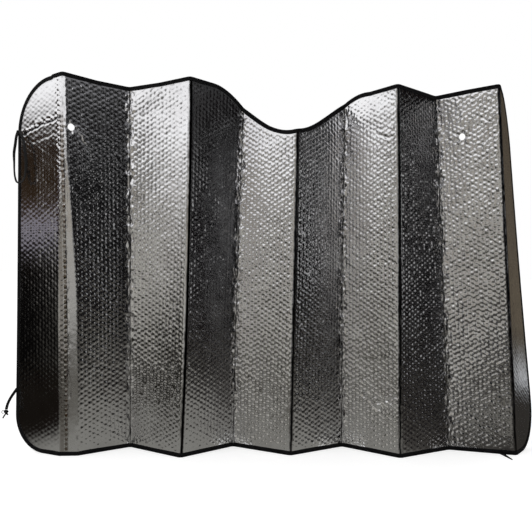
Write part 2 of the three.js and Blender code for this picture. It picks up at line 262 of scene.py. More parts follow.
def band(name, line, twist, width, thickness, material):
    """A flat band swept along a line. Where twist is 0 degrees it lies broad side forward."""
    forward = np.array([0, -1, 0], float)
    tangent = np.gradient(line, axis=0)
    tangent /= np.linalg.norm(tangent, axis=1)[:, None]
    front = forward - (tangent @ forward)[:, None] * tangent
    front /= np.linalg.norm(front, axis=1)[:, None]
    side = np.cross(tangent, front)
    angle = np.radians(twist)[:, None]
    across = np.cos(angle) * side + np.sin(angle) * front
    through = np.cos(angle) * front - np.sin(angle) * side
    section = band_section(width, thickness)
    steps, corners = len(line), len(section)
    points = (
        line[:, None, :]
        + across[:, None, :] * section[None, :, 0, None]
        + through[:, None, :] * section[None, :, 1, None]
    ).reshape(-1, 3)
    uv = np.column_stack([np.repeat(run_along(line), corners), np.tile(section[:, 0], steps)])
    piece = mesh_piece(name, points, swept_faces(steps, corners), material, uv)
    close_ends(piece)
    return piece


def close_ends(piece):
    """Fills the open ends of a swept mesh, and turns all its faces outward."""
    work = bmesh.new()
    work.from_mesh(piece.data)
    rims = [edge for edge in work.edges if edge.is_boundary]
    bmesh.ops.holes_fill(work, edges=rims, sides=0)
    bmesh.ops.recalc_face_normals(work, faces=work.faces)
    work.to_mesh(piece.data)
    work.free()


elastic = woven_elastic()
loop_line = smooth_route(beside_left_edge(LOOP_ROUTE), 10)
loop_twist = twist_along(LOOP_TWIST, loop_line)
upper_loop = band("upper_loop", loop_line, loop_twist, ELASTIC_WIDTH, ELASTIC_THICKNESS, elastic)
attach(upper_loop, "root")
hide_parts("upper_strap_loop")

# Lower strap. The same elastic is doubled and sewn in low on the left edge, where it sticks out of the
# tape and droops. Its two ends are tied in one overhand knot, with the cut ends left ragged.
STRAP_ROUTE = [
    (0.003, -0.0056, 0.134),
    (-0.001, -0.0085, 0.127),
    (-0.006, -0.011, 0.1185),
    (-0.0105, -0.013, 0.1095),
    (-0.014, -0.0145, 0.1),
    (-0.016, -0.0155, 0.09),
]
STRAP_TWIST = [0, 8, 20, 30, 35, 30]
strap_line = smooth_route(beside_left_edge(STRAP_ROUTE), 10)
strap_twist = twist_along(STRAP_TWIST, strap_line)
lower_band = band("lower_band", strap_line, strap_twist, ELASTIC_WIDTH, 2 * ELASTIC_THICKNESS, elastic)
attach(lower_band, "root")
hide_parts("lower_strap")

KNOT_LENGTH = 0.010
KNOT_WIDTH = 0.008
KNOT_THICKNESS = 0.006
KNOT_BAND_WIDTH = 0.0034
KNOT_BAND_THICKNESS = 0.0022
KNOT_BAND_TWIST = 20.0
GAP_ABOVE_KNOT = 0.0003
knot_centre = strap_line[-1] - np.array([0, 0, KNOT_LENGTH / 2 + GAP_ABOVE_KNOT])


def tied_knot():
    """An overhand knot pulled tight, as a narrow band wound through itself. Its middle line stays inside
    the knot's size by the given shares."""
    reach, depth = 0.42, 0.30
    t = np.linspace(0, 2 * math.pi, 72, endpoint=False)
    across = (np.sin(t) + 2 * np.sin(2 * t)) / 3 * reach * KNOT_WIDTH
    forward = np.sin(3 * t) * depth * KNOT_THICKNESS
    up = (np.cos(t) - 2 * np.cos(2 * t)) / 3 * reach * KNOT_LENGTH
    round_and_round = np.column_stack([across, forward, up]) + knot_centre
    return np.vstack([round_and_round, round_and_round[:1]])


knot_line = tied_knot()
knot_twist = np.full(len(knot_line), KNOT_BAND_TWIST)
knot = band("strap_knot", knot_line, knot_twist, KNOT_BAND_WIDTH, KNOT_BAND_THICKNESS, elastic)
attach(knot, "root")
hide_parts("lower_strap_knot")

# Each cut end's places as seen from the middle of the knot, and its width.
CUT_ENDS = {
    "long_end": [
        (0.000, -0.001, -0.002),
        (-0.002, -0.002, -0.006),
        (-0.0045, -0.002, -0.010),
        (-0.0065, -0.002, -0.0135),
    ],
    "short_end": [
        (0.001, -0.001, -0.001),
        (0.003, -0.002, -0.0035),
        (0.0045, -0.002, -0.0065),
    ],
    "curled_core": [
        (-0.002, -0.002, 0.001),
        (-0.005, -0.002, 0.003),
        (-0.0085, -0.002, 0.0015),
        (-0.0085, -0.002, -0.002),
        (-0.005, -0.002, -0.003),
    ],
}
END_WIDTHS = {"long_end": 0.003, "short_end": 0.003, "curled_core": 0.0012}
END_THICKNESS = 0.9 * ELASTIC_THICKNESS
END_TWIST = 25.0
for end_name, end_route in CUT_ENDS.items():
    end_line = smooth_route(knot_centre + np.array(end_route), 8)
    end_twist = np.full(len(end_line), END_TWIST)
    end_piece = band(end_name, end_line, end_twist, END_WIDTHS[end_name], END_THICKNESS, elastic)
    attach(end_piece, "root")

# Bubble foil. Two aluminised polyester films are laminated over a layer of air bubbles, and the sheet
# is pressed flat along nine folds into ten panels. It is one sheet: the ten pieces meet at the folds.
PANEL_WIDTH = 0.145
PANEL_COUNT = 10
SHADE_WIDTH = PANEL_WIDTH * PANEL_COUNT
PANEL_TURNS = [
    [25, 30, 34],
    [38, 38, 32],
    [33, 24, 18],
    [43, 46, 40],
    [28, 29, 36],
    [34, 39, 40],
    [37, 38, 47],
    [31, 38, 44],
    [15, 30, 38],
    [54, 60, 65],
]
TOP_CORNER_RADIUS = 0.112
LEFT_FOOT_CORNER_RADIUS = 0.078
RIGHT_FOOT_CORNER_RADIUS = 0.1
NOTCH_DEPTH = 0.098
NOTCH_HALF_WIDTH = 0.22
NOTCH_MIDDLE = SHADE_WIDTH / 2 - 0.01
RISE_IN_MILLIMETRES = [0, 0, 4.5, -3, -5.8, -1, 7.8, 3.5, -3, -3, 1.5]
RISE_IN_MILLIMETRES += [1.7, -1, -6, -2.2, -1.5, -1.2, 2.2, 4, 0, 0]
TOP_EDGE_RISE = [millimetres / 1000 for millimetres in RISE_IN_MILLIMETRES]
SEAM_HALF_WIDTH = 0.004
WIDE_SEAM_HALF_WIDTH = 0.022
WIDE_SEAM_BELOW = 0.28
NARROW_SEAM_ABOVE = 0.72
FOIL_THICKNESS = 0.0032
PRESSED_THICKNESS = 0.0014
CREASE_ROUNDING = 0.0012


def smoothstep(low, high, value):
    t = np.clip((value - low) / (high - low), 0, 1)
    return t * t * (3 - 2 * t)


def between(low, high, edge, value):
    """1 from low to high, falling to 0 over a soft edge on both sides."""
    return smoothstep(low - edge, low + edge, value) * (1 - smoothstep(high - edge, high + edge, value))


def seam_half_width(fold, height):
    if fold != 1:
        return np.full_like(height, SEAM_HALF_WIDTH)
    narrowing = smoothstep(WIDE_SEAM_BELOW, NARROW_SEAM_ABOVE, height)
    return WIDE_SEAM_HALF_WIDTH + (SEAM_HALF_WIDTH - WIDE_SEAM_HALF_WIDTH) * narrowing


def plan_at(height):
    """The shade seen from above, at each height: how far across its corners are, and where they lie."""
    fold = left_edge(height)
    across = [np.zeros_like(height)]
    at = [fold.copy()]
    for panel in range(PANEL_COUNT):
        turn = np.radians(through_three(PANEL_TURNS[panel], height))
        side = -1 if panel % 2 == 0 else 1
        direction = np.stack([np.cos(turn), side * np.sin(turn)], axis=-1)
        if panel > 0:
            after = seam_half_width(panel, height)
            across.append(panel * PANEL_WIDTH + after)
            at.append(fold + direction * after[:, None])
        fold = fold + direction * PANEL_WIDTH
        before = seam_half_width(panel + 1, height) if panel < PANEL_COUNT - 1 else np.zeros_like(height)
        across.append((panel + 1) * PANEL_WIDTH - before)
        at.append(fold - direction * before[:, None])
    return np.array(across), np.array(at)


def in_plan(plan, across):
    """The middle layer's place in plan, for points so far across the flat sheet."""
    corner_across, corner_at = plan
    run = (across[None, :] > corner_across[1:-1]).sum(axis=0)
    here = np.arange(len(across))
    start_across, end_across = corner_across[run, here], corner_across[run + 1, here]
    share = ((across - start_across) / (end_across - start_across))[:, None]
    return corner_at[run, here] * (1 - share) + corner_at[run + 1, here] * share


def middle_and_front(across, height):
    """Where points of the flat sheet's middle layer lie once it is folded, and which way is its front."""
    plan = plan_at(height)
    here = in_plan(plan, across)
    before = in_plan(plan, across - CREASE_ROUNDING)
    after = in_plan(plan, across + CREASE_ROUNDING)
    eased = (before + 2 * here + after) / 4
    along = after - before
    along /= np.linalg.norm(along, axis=1)[:, None]
    middle = np.column_stack([eased, height])
    front = np.column_stack([along[:, 1], -along[:, 0], np.zeros_like(height)])
    return middle, front


def top_edge(across):
    """The height of the flat sheet's upper edge, and how much longer its slope makes it."""
    phase = np.clip((across - NOTCH_MIDDLE) / NOTCH_HALF_WIDTH, -1, 1) * math.pi
    half_panels = 2 * across / PANEL_WIDTH
    rise = np.interp(half_panels, np.arange(len(TOP_EDGE_RISE)), TOP_EDGE_RISE)
    height = SHADE_HEIGHT + rise - NOTCH_DEPTH / 2 * (1 + np.cos(phase))
    slope = NOTCH_DEPTH / 2 * math.pi / NOTCH_HALF_WIDTH * np.sin(phase)
    return height, np.hypot(1, slope)


def inside_outline(across, height):
    """How far a flat point is inside the edge of the sheet."""
    from_side = np.minimum(across, SHADE_WIDTH - across)
    top, stretch = top_edge(across)
    from_top = (top - height) / stretch
    inside = np.minimum(np.minimum(from_side, height), from_top)
    foot_radius = np.where(across < SHADE_WIDTH / 2, LEFT_FOOT_CORNER_RADIUS, RIGHT_FOOT_CORNER_RADIUS)
    in_foot_corner = (from_side < foot_radius) & (height < foot_radius)
    foot = foot_radius - np.hypot(foot_radius - from_side, foot_radius - height)
    from_top_edge = SHADE_HEIGHT - height
    in_top_corner = (from_side < TOP_CORNER_RADIUS) & (from_top_edge < TOP_CORNER_RADIUS)
    head = TOP_CORNER_RADIUS - np.hypot(TOP_CORNER_RADIUS - from_side, TOP_CORNER_RADIUS - from_top_edge)
    return np.where(in_foot_corner, foot, np.where(in_top_corner, head, inside))


def unevenness(across, height, hills):
    """Smooth hills and hollows. They are given by how far apart they are across and up the sheet, how
    high they are at most, and the seed of their dice."""
    size_across, size_up, highest, seed = hills
    columns = int(SHADE_WIDTH / size_across) + 4
    rows = int(SHADE_HEIGHT / size_up) + 4
    levels = np.random.default_rng(seed).uniform(-1, 1, (columns, rows))
    x, y = across / size_across + 1, height / size_up + 1
    i = np.clip(np.floor(x).astype(int), 0, columns - 2)
    j = np.clip(np.floor(y).astype(int), 0, rows - 2)
    fx, fy = x - i, y - j
    fx, fy = fx * fx * (3 - 2 * fx), fy * fy * (3 - 2 * fy)
    low = levels[i, j] * (1 - fx) + levels[i + 1, j] * fx
    high = levels[i, j + 1] * (1 - fx) + levels[i + 1, j + 1] * fx
    return highest * (low * (1 - fy) + high * fy)


# The bubbles stand in upright columns. The mesh has four steps from bubble to bubble, and four columns
# of points from one column of bubbles to the next.
BUBBLE_PITCH = 0.0104
STEPS_PER_BUBBLE = 4
COLUMNS_PER_PANEL = 64
COLUMN_STEP = PANEL_WIDTH / COLUMNS_PER_PANEL
ROW_STEP = BUBBLE_PITCH / STEPS_PER_BUBBLE
ROW_COUNT = int((SHADE_HEIGHT + max(TOP_EDGE_RISE)) / ROW_STEP)
BUBBLE_HEIGHT = 0.0014
FRONT_BUBBLE_HEIGHT = 0.0020
BACK_BUBBLE_HEIGHT = 0.55 * BUBBLE_HEIGHT
DOME_REACH = [0, 0.0036, 0.0045, 0.0053, 0.0060]
DOME_RISE = [1, 0.97, 0.55, 0.12, 0]
DENT_RADIUS = 0.0022
BUBBLE_SHIFT = 0.0006
BUBBLE_LEAN = 35
BUBBLE_DICE = 20000
DICE_PER_COLUMN = 100
RIM_INSET = 0.0011
CUP_HOLE_RADIUS = 0.0075
CUP_SEAT_RADIUS = 0.011
LEFT_CUP_HOLE = (PANEL_WIDTH + 0.016, SHADE_HEIGHT - 0.110)
RIGHT_CUP_HOLE = (8 * PANEL_WIDTH + 0.058, SHADE_HEIGHT - 0.097)


def from_cup_hole(across, height):
    """How far across and up points are from the middle of the cup hole in their half of the sheet."""
    in_right_half = (across > SHADE_WIDTH / 2).astype(int)
    hole_across, hole_height = np.array([LEFT_CUP_HOLE, RIGHT_CUP_HOLE])[in_right_half].T
    return across - hole_across, height - hole_height


def bubbles(column, row):
    """How far each point of the mesh is from the nearest bubble's place, and the number of that bubble."""
    cell_column = np.floor_divide(column, STEPS_PER_BUBBLE)
    in_column = column - cell_column * STEPS_PER_BUBBLE - STEPS_PER_BUBBLE // 2
    half_row = 2 * row + np.abs(column) % 2
    half_rows_per_bubble = 2 * STEPS_PER_BUBBLE
    best = np.full(column.shape, np.inf)
    cell = np.zeros(column.shape, int)
    sideways = np.zeros(column.shape)
    up = np.zeros(column.shape)
    as_near = 1e-9
    for beside in (-1, 0, 1):
        there = cell_column + beside
        shift = (there % 2) * STEPS_PER_BUBBLE
        place_up = np.round((half_row - shift) / half_rows_per_bubble).astype(int)
        this_up = (half_row - shift - half_rows_per_bubble * place_up) / 2 * ROW_STEP
        this_sideways = (in_column - beside * STEPS_PER_BUBBLE) * COLUMN_STEP
        away = np.hypot(this_sideways, this_up)
        nearer = away < best - as_near
        best = np.where(nearer, away, best)
        cell = np.where(nearer, (there + 1) * DICE_PER_COLUMN + place_up + 2, cell)
        sideways = np.where(nearer, this_sideways, sideways)
        up = np.where(nearer, this_up, up)
    return sideways, up, cell


def foil_relief(column, row):
    """How far the bubbles stand out, from 0 in the valleys to 1 on a full bubble. No two are quite alike:
    they sit a little off their places, lean, and are dented by packing."""
    sideways, up, cell = bubbles(column, row)
    dice = np.random.default_rng(7)
    shift_sideways, shift_up = dice.uniform(-BUBBLE_SHIFT, BUBBLE_SHIFT, (2, BUBBLE_DICE))[:, cell]
    fullness = dice.uniform(0.7, 1.0, BUBBLE_DICE)[cell]
    dent = dice.uniform(-0.1, 0.3, BUBBLE_DICE)[cell]
    lean_sideways, lean_up = dice.uniform(-BUBBLE_LEAN, BUBBLE_LEAN, (2, BUBBLE_DICE))[:, cell]
    away = np.hypot(sideways - shift_sideways, up - shift_up)
    dome = np.interp(away, DOME_REACH, DOME_RISE) - dent * np.exp(-((away / DENT_RADIUS) ** 2))
    return dome * fullness * (1 + lean_sideways * sideways + lean_up * up)


# How full the bubbles of each panel stand, at the foot, in the middle and at the top.
FULLNESS = [
    (0.35, 0.3, 0.22),
    (0.9, 0.95, 0.95),
    (0.9, 0.85, 0.3),
    (0.85, 0.35, 0.25),
    (0.9, 1.1, 0.6),
    (0.9, 0.9, 0.9),
    (1.0, 1.0, 0.45),
    (0.7, 1.1, 1.1),
    (1.0, 1.0, 0.9),
    (0.4, 0.4, 0.4),
]
FULL_BESIDE_FIRST_FOLD = 1.1
BESIDE_FIRST_FOLD = (-0.024, -0.020)
TAPE_WIDTH = 0.009
BUBBLE_RAMP = 0.003
# Two upright strips beside the first fold, given from it, where the seam is pressed less and the film is
# tinted brown as a painted reflection.
BUBBLED_STRIP = (-0.010, 0.001)
HALF_PRESSED_STRIP = (-0.0205, -0.0105)
STRIP_EDGE = 0.001
BUBBLED_UP_TO = (0.66, 0.74)
HALF_PRESSED_UP_TO = (0.50, 0.60)


def pressed_share(across, height):
    """1 where heat or stitching has pressed the bubbles flat and 0 where they stand full, and the share of
    the brown tint that is painted as a reflection. The nearest fold and the distance from it are given too."""
    fold = np.clip(np.round(across / PANEL_WIDTH), 1, PANEL_COUNT - 1)
    from_fold = np.abs(across - fold * PANEL_WIDTH)
    seam = np.where(fold == 1, seam_half_width(1, height), SEAM_HALF_WIDTH)
    at_seam = 1 - smoothstep(seam, seam + BUBBLE_RAMP, from_fold)
    at_edge = 1 - smoothstep(TAPE_WIDTH, TAPE_WIDTH + BUBBLE_RAMP, inside_outline(across, height))
    from_hole = np.hypot(*from_cup_hole(across, height))
    at_hole = 1 - smoothstep(CUP_SEAT_RADIUS, CUP_SEAT_RADIUS + BUBBLE_RAMP, from_hole)
    from_first = across - PANEL_WIDTH
    below = 1 - smoothstep(*BUBBLED_UP_TO, height)
    bubbled = below * between(*BUBBLED_STRIP, STRIP_EDGE, from_first)
    below = 1 - smoothstep(*HALF_PRESSED_UP_TO, height)
    half_pressed = below * between(*HALF_PRESSED_STRIP, STRIP_EDGE, from_first)
    at_seam = at_seam * (1 - 0.95 * bubbled) * (1 - 0.5 * half_pressed)
    pressed = np.maximum(np.maximum(at_seam, at_edge), at_hole)
    # The share of the brown tint painted as a reflection beside the first fold.
    brown_reflection_share = 0.5 * half_pressed + bubbled
    return pressed, brown_reflection_share, from_fold, fold


# How far some panels belly forward, low, half way and high, and how much each panel sways besides.
BELLIES = np.zeros((PANEL_COUNT, 3))
BELLIES[2] = (-0.003, -0.005, -0.005)
BELLIES[5] = (0, 0.005, 0.004)
BELLIES[6] = (0, 0.001, 0.003)
BELLIES[8] = (-0.001, -0.003, -0.001)
EVENNESS = np.array([0.4, 1, 1, 0.4, 1, 1, 1, 1, 1, 1])
HELD_BY_TAPE = 0.07
SLOW_SWAY = (0.11, 0.16, 0.0020, 21)
QUICK_SWAY = (0.045, 0.06, 0.0009, 22)


def sway(across, height):
    """How far a panel stands out of its plane between its folds, which hold it as the tape does."""
    panel = np.clip(np.floor(across / PANEL_WIDTH), 0, PANEL_COUNT - 1).astype(int)
    share = across / PANEL_WIDTH - panel
    held = smoothstep(0.0, HELD_BY_TAPE, inside_outline(across, height)) * np.sin(math.pi * share)
    loose = unevenness(across, height, SLOW_SWAY) + unevenness(across, height, QUICK_SWAY)
    return held * (EVENNESS[panel] * loose + belly_at(BELLIES[panel].T, height))


def belly_at(three, height):
    """A belly that changes between a quarter, half and three quarters of the way up."""
    low, middle, high = three
    lower = low + (middle - low) * smoothstep(0.2, 0.4, height)
    return lower + (high - middle) * smoothstep(0.4, 0.6, height)


# Sharp creases where the foil was folded by hand. Each runs straight from one flat point to another, as
# across and height, and is so deep. The deepest are crumpled beside them and get a dark line of painted
# shade along their middle.
CREASES = [
    ((0.012, 0.682), (0.075, 0.699), 0.0013),
    ((0.075, 0.699), (0.138, 0.711), 0.0013),
    ((0.045, 0.664), (0.138, 0.682), 0.0004),
    ((0.166, 0.689), (0.200, 0.644), 0.0012),
    ((0.251, 0.644), (0.269, 0.627), 0.0010),
    ((0.965, 0.697), (1.002, 0.688), 0.0011),
    ((0.917, 0.131), (0.965, 0.095), 0.0014),
    ((1.009, 0.131), (0.956, 0.110), 0.0014),
    ((1.036, 0.122), (1.050, 0.106), 0.0010),
    ((1.052, 0.652), (1.064, 0.644), -0.0012),
]
CREASE_WIDTH = 0.0032
CREASE_ROLL_WIDTH = 2.2 * CREASE_WIDTH
CREASE_END = 0.004
CREASE_JAG = (0.008, 0.008, 0.0028, 31)
CRUMPLED_FROM = 0.00115
CRUMPLE = (0.0045, 0.0045, 0.0012, 32)
CRUMPLE_BESIDE = 0.004
CRUMPLE_WIDTH = 0.008
CREASE_SHADE_HALF_WIDTHS = (0.0012, 0.0034)


def creased(across, height):
    """How far the creases sink into the sheet, and the painted shade that darkens them along their middle.
    """
    jag = unevenness(across, height, CREASE_JAG)
    crumple = unevenness(across, height, CRUMPLE)
    sunk = np.zeros_like(across)
    crease_shade = np.zeros_like(across)
    for (across_0, height_0), (across_1, height_1), depth in CREASES:
        run_across, run_up = across_1 - across_0, height_1 - height_0
        length = math.hypot(run_across, run_up)
        along = ((across - across_0) * run_across + (height - height_0) * run_up) / length
        beside = ((across - across_0) * run_up - (height - height_0) * run_across) / length
        begun = smoothstep(-CREASE_END, CREASE_END / 2, along)
        ends = begun * (1 - smoothstep(length - CREASE_END / 2, length + CREASE_END, along))
        groove = np.exp(-(((beside + jag) / CREASE_WIDTH) ** 2))
        roll = np.exp(-(((beside + jag) / CREASE_ROLL_WIDTH) ** 2))
        sunk = sunk + ends * depth * (1.4 * groove - 0.6 * roll)
        if depth > CRUMPLED_FROM:
            beside_it = np.exp(-(((beside + CRUMPLE_BESIDE) / CRUMPLE_WIDTH) ** 2))
            sunk = sunk + ends * beside_it * crumple
            # A dark line of painted shade along the middle of the crease.
            line = 1 - smoothstep(*CREASE_SHADE_HALF_WIDTHS, np.abs(beside + jag) + crumple)
            crease_shade = np.maximum(crease_shade, ends * line)
    return sunk, crease_shade


# Small wrinkles: two kinds along the valley folds, one along the first fold, and one in the worn spot to
# the right of that fold's foot. They fade between two distances from the fold.
VALLEY_ROLLS = (0.0042, 0.018, 0.0022, 9)
VALLEY_CRUMPLES = (0.0045, 0.007, 0.0019, 10)
FIRST_FOLD_WRINKLES = (0.004, 0.012, 0.0009, 13)
WORN_WRINKLES = (0.005, 0.011, 0.0022, 14)
VALLEY_FADE = (0.006, 0.015)
FIRST_FOLD_FADE = (0.004, 0.009)
WORN_SPOT = (0.169, 0.045)
WORN_SPOT_SIZE = (0.006, 0.045)
CUP_RIM_RADIUS = 0.0105
CUP_RIM_WIDTH = 0.0035


def crushed(across, height, from_fold, fold):
    """How far the small wrinkles stand out along the folds, in the worn spot and round the cup holes."""
    in_valley = (fold % 2 == 0) * (1 - smoothstep(*VALLEY_FADE, from_fold))
    rolls = unevenness(across, height, VALLEY_ROLLS) + unevenness(across, height, VALLEY_CRUMPLES)
    at_first = (fold == 1) * (1 - smoothstep(*FIRST_FOLD_FADE, from_fold))
    wrinkles = in_valley * rolls + at_first * unevenness(across, height, FIRST_FOLD_WRINKLES)
    from_spot_across = (across - WORN_SPOT[0]) / WORN_SPOT_SIZE[0]
    from_spot_up = (height - WORN_SPOT[1]) / WORN_SPOT_SIZE[1]
    worn = np.exp(-(from_spot_across**2) - from_spot_up**2)
    wrinkles = wrinkles + worn * unevenness(across, height, WORN_WRINKLES)
    sideways, up = from_cup_hole(across, height)
    turn = np.arctan2(up, sideways)
    rim = np.exp(-(((np.hypot(sideways, up) - CUP_RIM_RADIUS) / CUP_RIM_WIDTH) ** 2))
    pleats = 0.0012 * np.sin(5 * turn + 40 * (across - sideways)) + 0.0008 * np.sin(9 * turn)
    return wrinkles + rim * pleats


def aluminised_film():
    """Aluminised polyester film: a bright mirror metal on thin plastic. It is creased finely all over and
    rubbed duller where it is pressed. Beside the first fold it is tinted brown as a painted reflection, and
    along its folds and creases it is darkened as painted shade."""
    material, tree = new_material("aluminised_film")
    crinkle_size = 0.0024
    crinkle_depth = 0.0003
    smear_size = 0.05
    dulled_by_pressing = 0.12
    place = add_node(tree, "TexCoord").outputs["Object"]
    fine = {"Vector": place, "Scale": 1 / crinkle_size, "Detail": 3.0, "Roughness": 0.6}
    crinkle = add_node(tree, "TexNoise", fine)
    relief = {"Height": crinkle.outputs[0], "Strength": 0.3, "Distance": crinkle_depth}
    bump = add_node(tree, "Bump", relief)
    smears = {"Vector": place, "Scale": 1 / smear_size, "Detail": 4.0, "Roughness": 0.55}
    handling = add_node(tree, "TexNoise", smears).outputs[0]
    smeared = {"Value": handling, "From Min": 0.3, "From Max": 0.7, "To Min": 0.10, "To Max": 0.17}
    dull = add_node(tree, "MapRange", smeared)
    pressed = add_node(tree, "Attribute", attribute_name="pressed")
    duller = {0: pressed.outputs["Fac"], 1: dulled_by_pressing, 2: dull.outputs[0]}
    dulling = add_node(tree, "Math", duller, operation="MULTIPLY_ADD")
    tint = add_node(tree, "ValToRGB", {0: handling})
    handled, bright = tint.color_ramp.elements
    handled.position = 0.35
    handled.color = linear("#e9e8ea")
    bright.position = 0.65
    bright.color = linear("#f6f6f8")
    colour = tint.outputs[0]
    # Two painted marks: a brown tint that stands in for a reflection, and painted shade along folds and
    # creases.
    for attribute, hex_colour in (("painted_brown_reflection", "#5c4726"), ("painted_fold_shade", "#0d0c0c")):
        share = add_node(tree, "Attribute", attribute_name=attribute).outputs["Fac"]
        toned = {"Factor": share, "A": colour, "B": linear(hex_colour)}
        colour = add_node(tree, "Mix", toned, data_type="RGBA").outputs[2]
    metal = {"Base Color": colour, "Metallic": 1.0, "Roughness": dulling.outputs[0]}
    metal["Normal"] = bump.outputs[0]
    film = add_node(tree, "BsdfPrincipled", metal)
    add_node(tree, "OutputMaterial", {"Surface": film.outputs[0]})
    return material


def panel_grid(panel):
    """A panel as a flat grid of triangles inside the outline and outside the cup holes."""
    columns = np.arange(panel * COLUMNS_PER_PANEL, (panel + 1) * COLUMNS_PER_PANEL + 1)
    rows = np.arange(-1, ROW_COUNT + 2)
    column, row = np.meshgrid(columns, rows, indexing="ij")
    index = np.arange(column.size).reshape(column.shape)
    a, b = index[:-1, :-1], index[1:, :-1]
    c, d = index[1:, 1:], index[:-1, 1:]
    even = (column[:-1, :-1] % 2 == 0)[..., None]
    lower = np.where(even, np.stack([a, b, d], -1), np.stack([a, b, c], -1))
    upper = np.where(even, np.stack([b, c, d], -1), np.stack([a, c, d], -1))
    triangles = np.concatenate([lower.reshape(-1, 3), upper.reshape(-1, 3)])
    column, row = column.ravel(), row.ravel()
    across = column * COLUMN_STEP
    height = (row + 0.5 * (column % 2)) * ROW_STEP
    hole_slack = 0.0004
    outside_hole = np.hypot(*from_cup_hole(across, height)) > CUP_HOLE_RADIUS - hole_slack
    inside = (inside_outline(across, height) > RIM_INSET) & outside_hole
    triangles = triangles[inside[triangles].all(axis=1)]
    used, triangles = np.unique(triangles, return_inverse=True)
    return column[used], row[used], across[used], height[used], triangles.reshape(-1, 3)


def rim_of(triangles):
    """The edges that only one triangle has."""
    edges = np.concatenate([triangles[:, [0, 1]], triangles[:, [1, 2]], triangles[:, [2, 0]]])
    count = triangles.max() + 1
    own = edges[:, 0] * count + edges[:, 1]
    opposite = edges[:, 1] * count + edges[:, 0]
    return edges[~np.isin(own, opposite)]


RIM_REACH = 1.3 * ROW_STEP


def drawn_to_edge(column, across, height, rim):
    """Moves the ragged rim of the grid onto the sheet's smooth outline and onto the round cup holes."""
    on_rim = np.zeros(len(across), bool)
    on_rim[rim.ravel()] = True
    near = on_rim & (inside_outline(across, height) < RIM_INSET + RIM_REACH)
    at_fold = (column % COLUMNS_PER_PANEL == 0) & (column > 0) & (column < PANEL_COUNT * COLUMNS_PER_PANEL)
    step = 1e-5
    least_steepness = 0.25
    for _ in range(2):
        gap = inside_outline(across, height) - RIM_INSET
        right, left = inside_outline(across + step, height), inside_outline(across - step, height)
        above, below = inside_outline(across, height + step), inside_outline(across, height - step)
        slope_across = np.where(at_fold, 0, (right - left) / (2 * step))
        slope_up = (above - below) / (2 * step)
        steep = np.maximum(slope_across**2 + slope_up**2, least_steepness)
        across = np.where(near, across - gap * slope_across / steep, across)
        height = np.where(near, height - gap * slope_up / steep, height)
    sideways, up = from_cup_hole(across, height)
    away = np.hypot(sideways, up)
    near_hole = on_rim & (away < CUP_HOLE_RADIUS + RIM_REACH)
    outward = np.where(near_hole, CUP_HOLE_RADIUS / np.maximum(away, step) - 1, 0)
    return across + outward * sideways, height + outward * up


# Painted shade darkens the ridges from the third fold on, as a dark line. Each line is given by how far its
# middle is to the right of the fold, and by its half width. The valley folds are darkened too, more finely.
RIDGE_SHADE_LINES = {3: (0.0018, 0.003), 5: (0.0009, 0.0024), 7: (0.0002, 0.0016), 9: (0, 0.0016)}
SHADE_LINE_EDGE = 0.0016
VALLEY_SHADE_FADE = (0.0004, 0.0026)
SHADE_LINE_RAGGEDNESS = (0.004, 0.012, 0.0007, 17)


def painted_fold_shade_share(across, height, from_fold, fold):
    """How far the folds are darkened by painted shade, from 0 to 1."""
    ragged = unevenness(across, height, SHADE_LINE_RAGGEDNESS)
    valley_shade = (fold % 2 == 0) * (1 - smoothstep(*VALLEY_SHADE_FADE, from_fold + 2 * np.abs(ragged)))
    painted_fold_shade = 0.9 * valley_shade
    for ridge, (middle, half_width) in RIDGE_SHADE_LINES.items():
        from_ridge_shade = np.abs(across - fold * PANEL_WIDTH - middle) + ragged
        ridge_shade = (fold == ridge) * (1 - smoothstep(half_width, half_width + SHADE_LINE_EDGE, from_ridge_shade))
        painted_fold_shade = np.maximum(painted_fold_shade, ridge_shade)
    return painted_fold_shade


# The film's finest unevenness, and how strong it is on each panel. It fades out beside the tape.
FILM_GRAIN = (0.0032, 0.0032, 0.00030, 5)
CRINKLE = [0.3, 0.5, 0.8, 0.3, 0.8, 0.9, 1.0, 0.7, 1.8, 0.5]
GRAIN_FADE = 0.004
SHARP_FROM = math.radians(65)


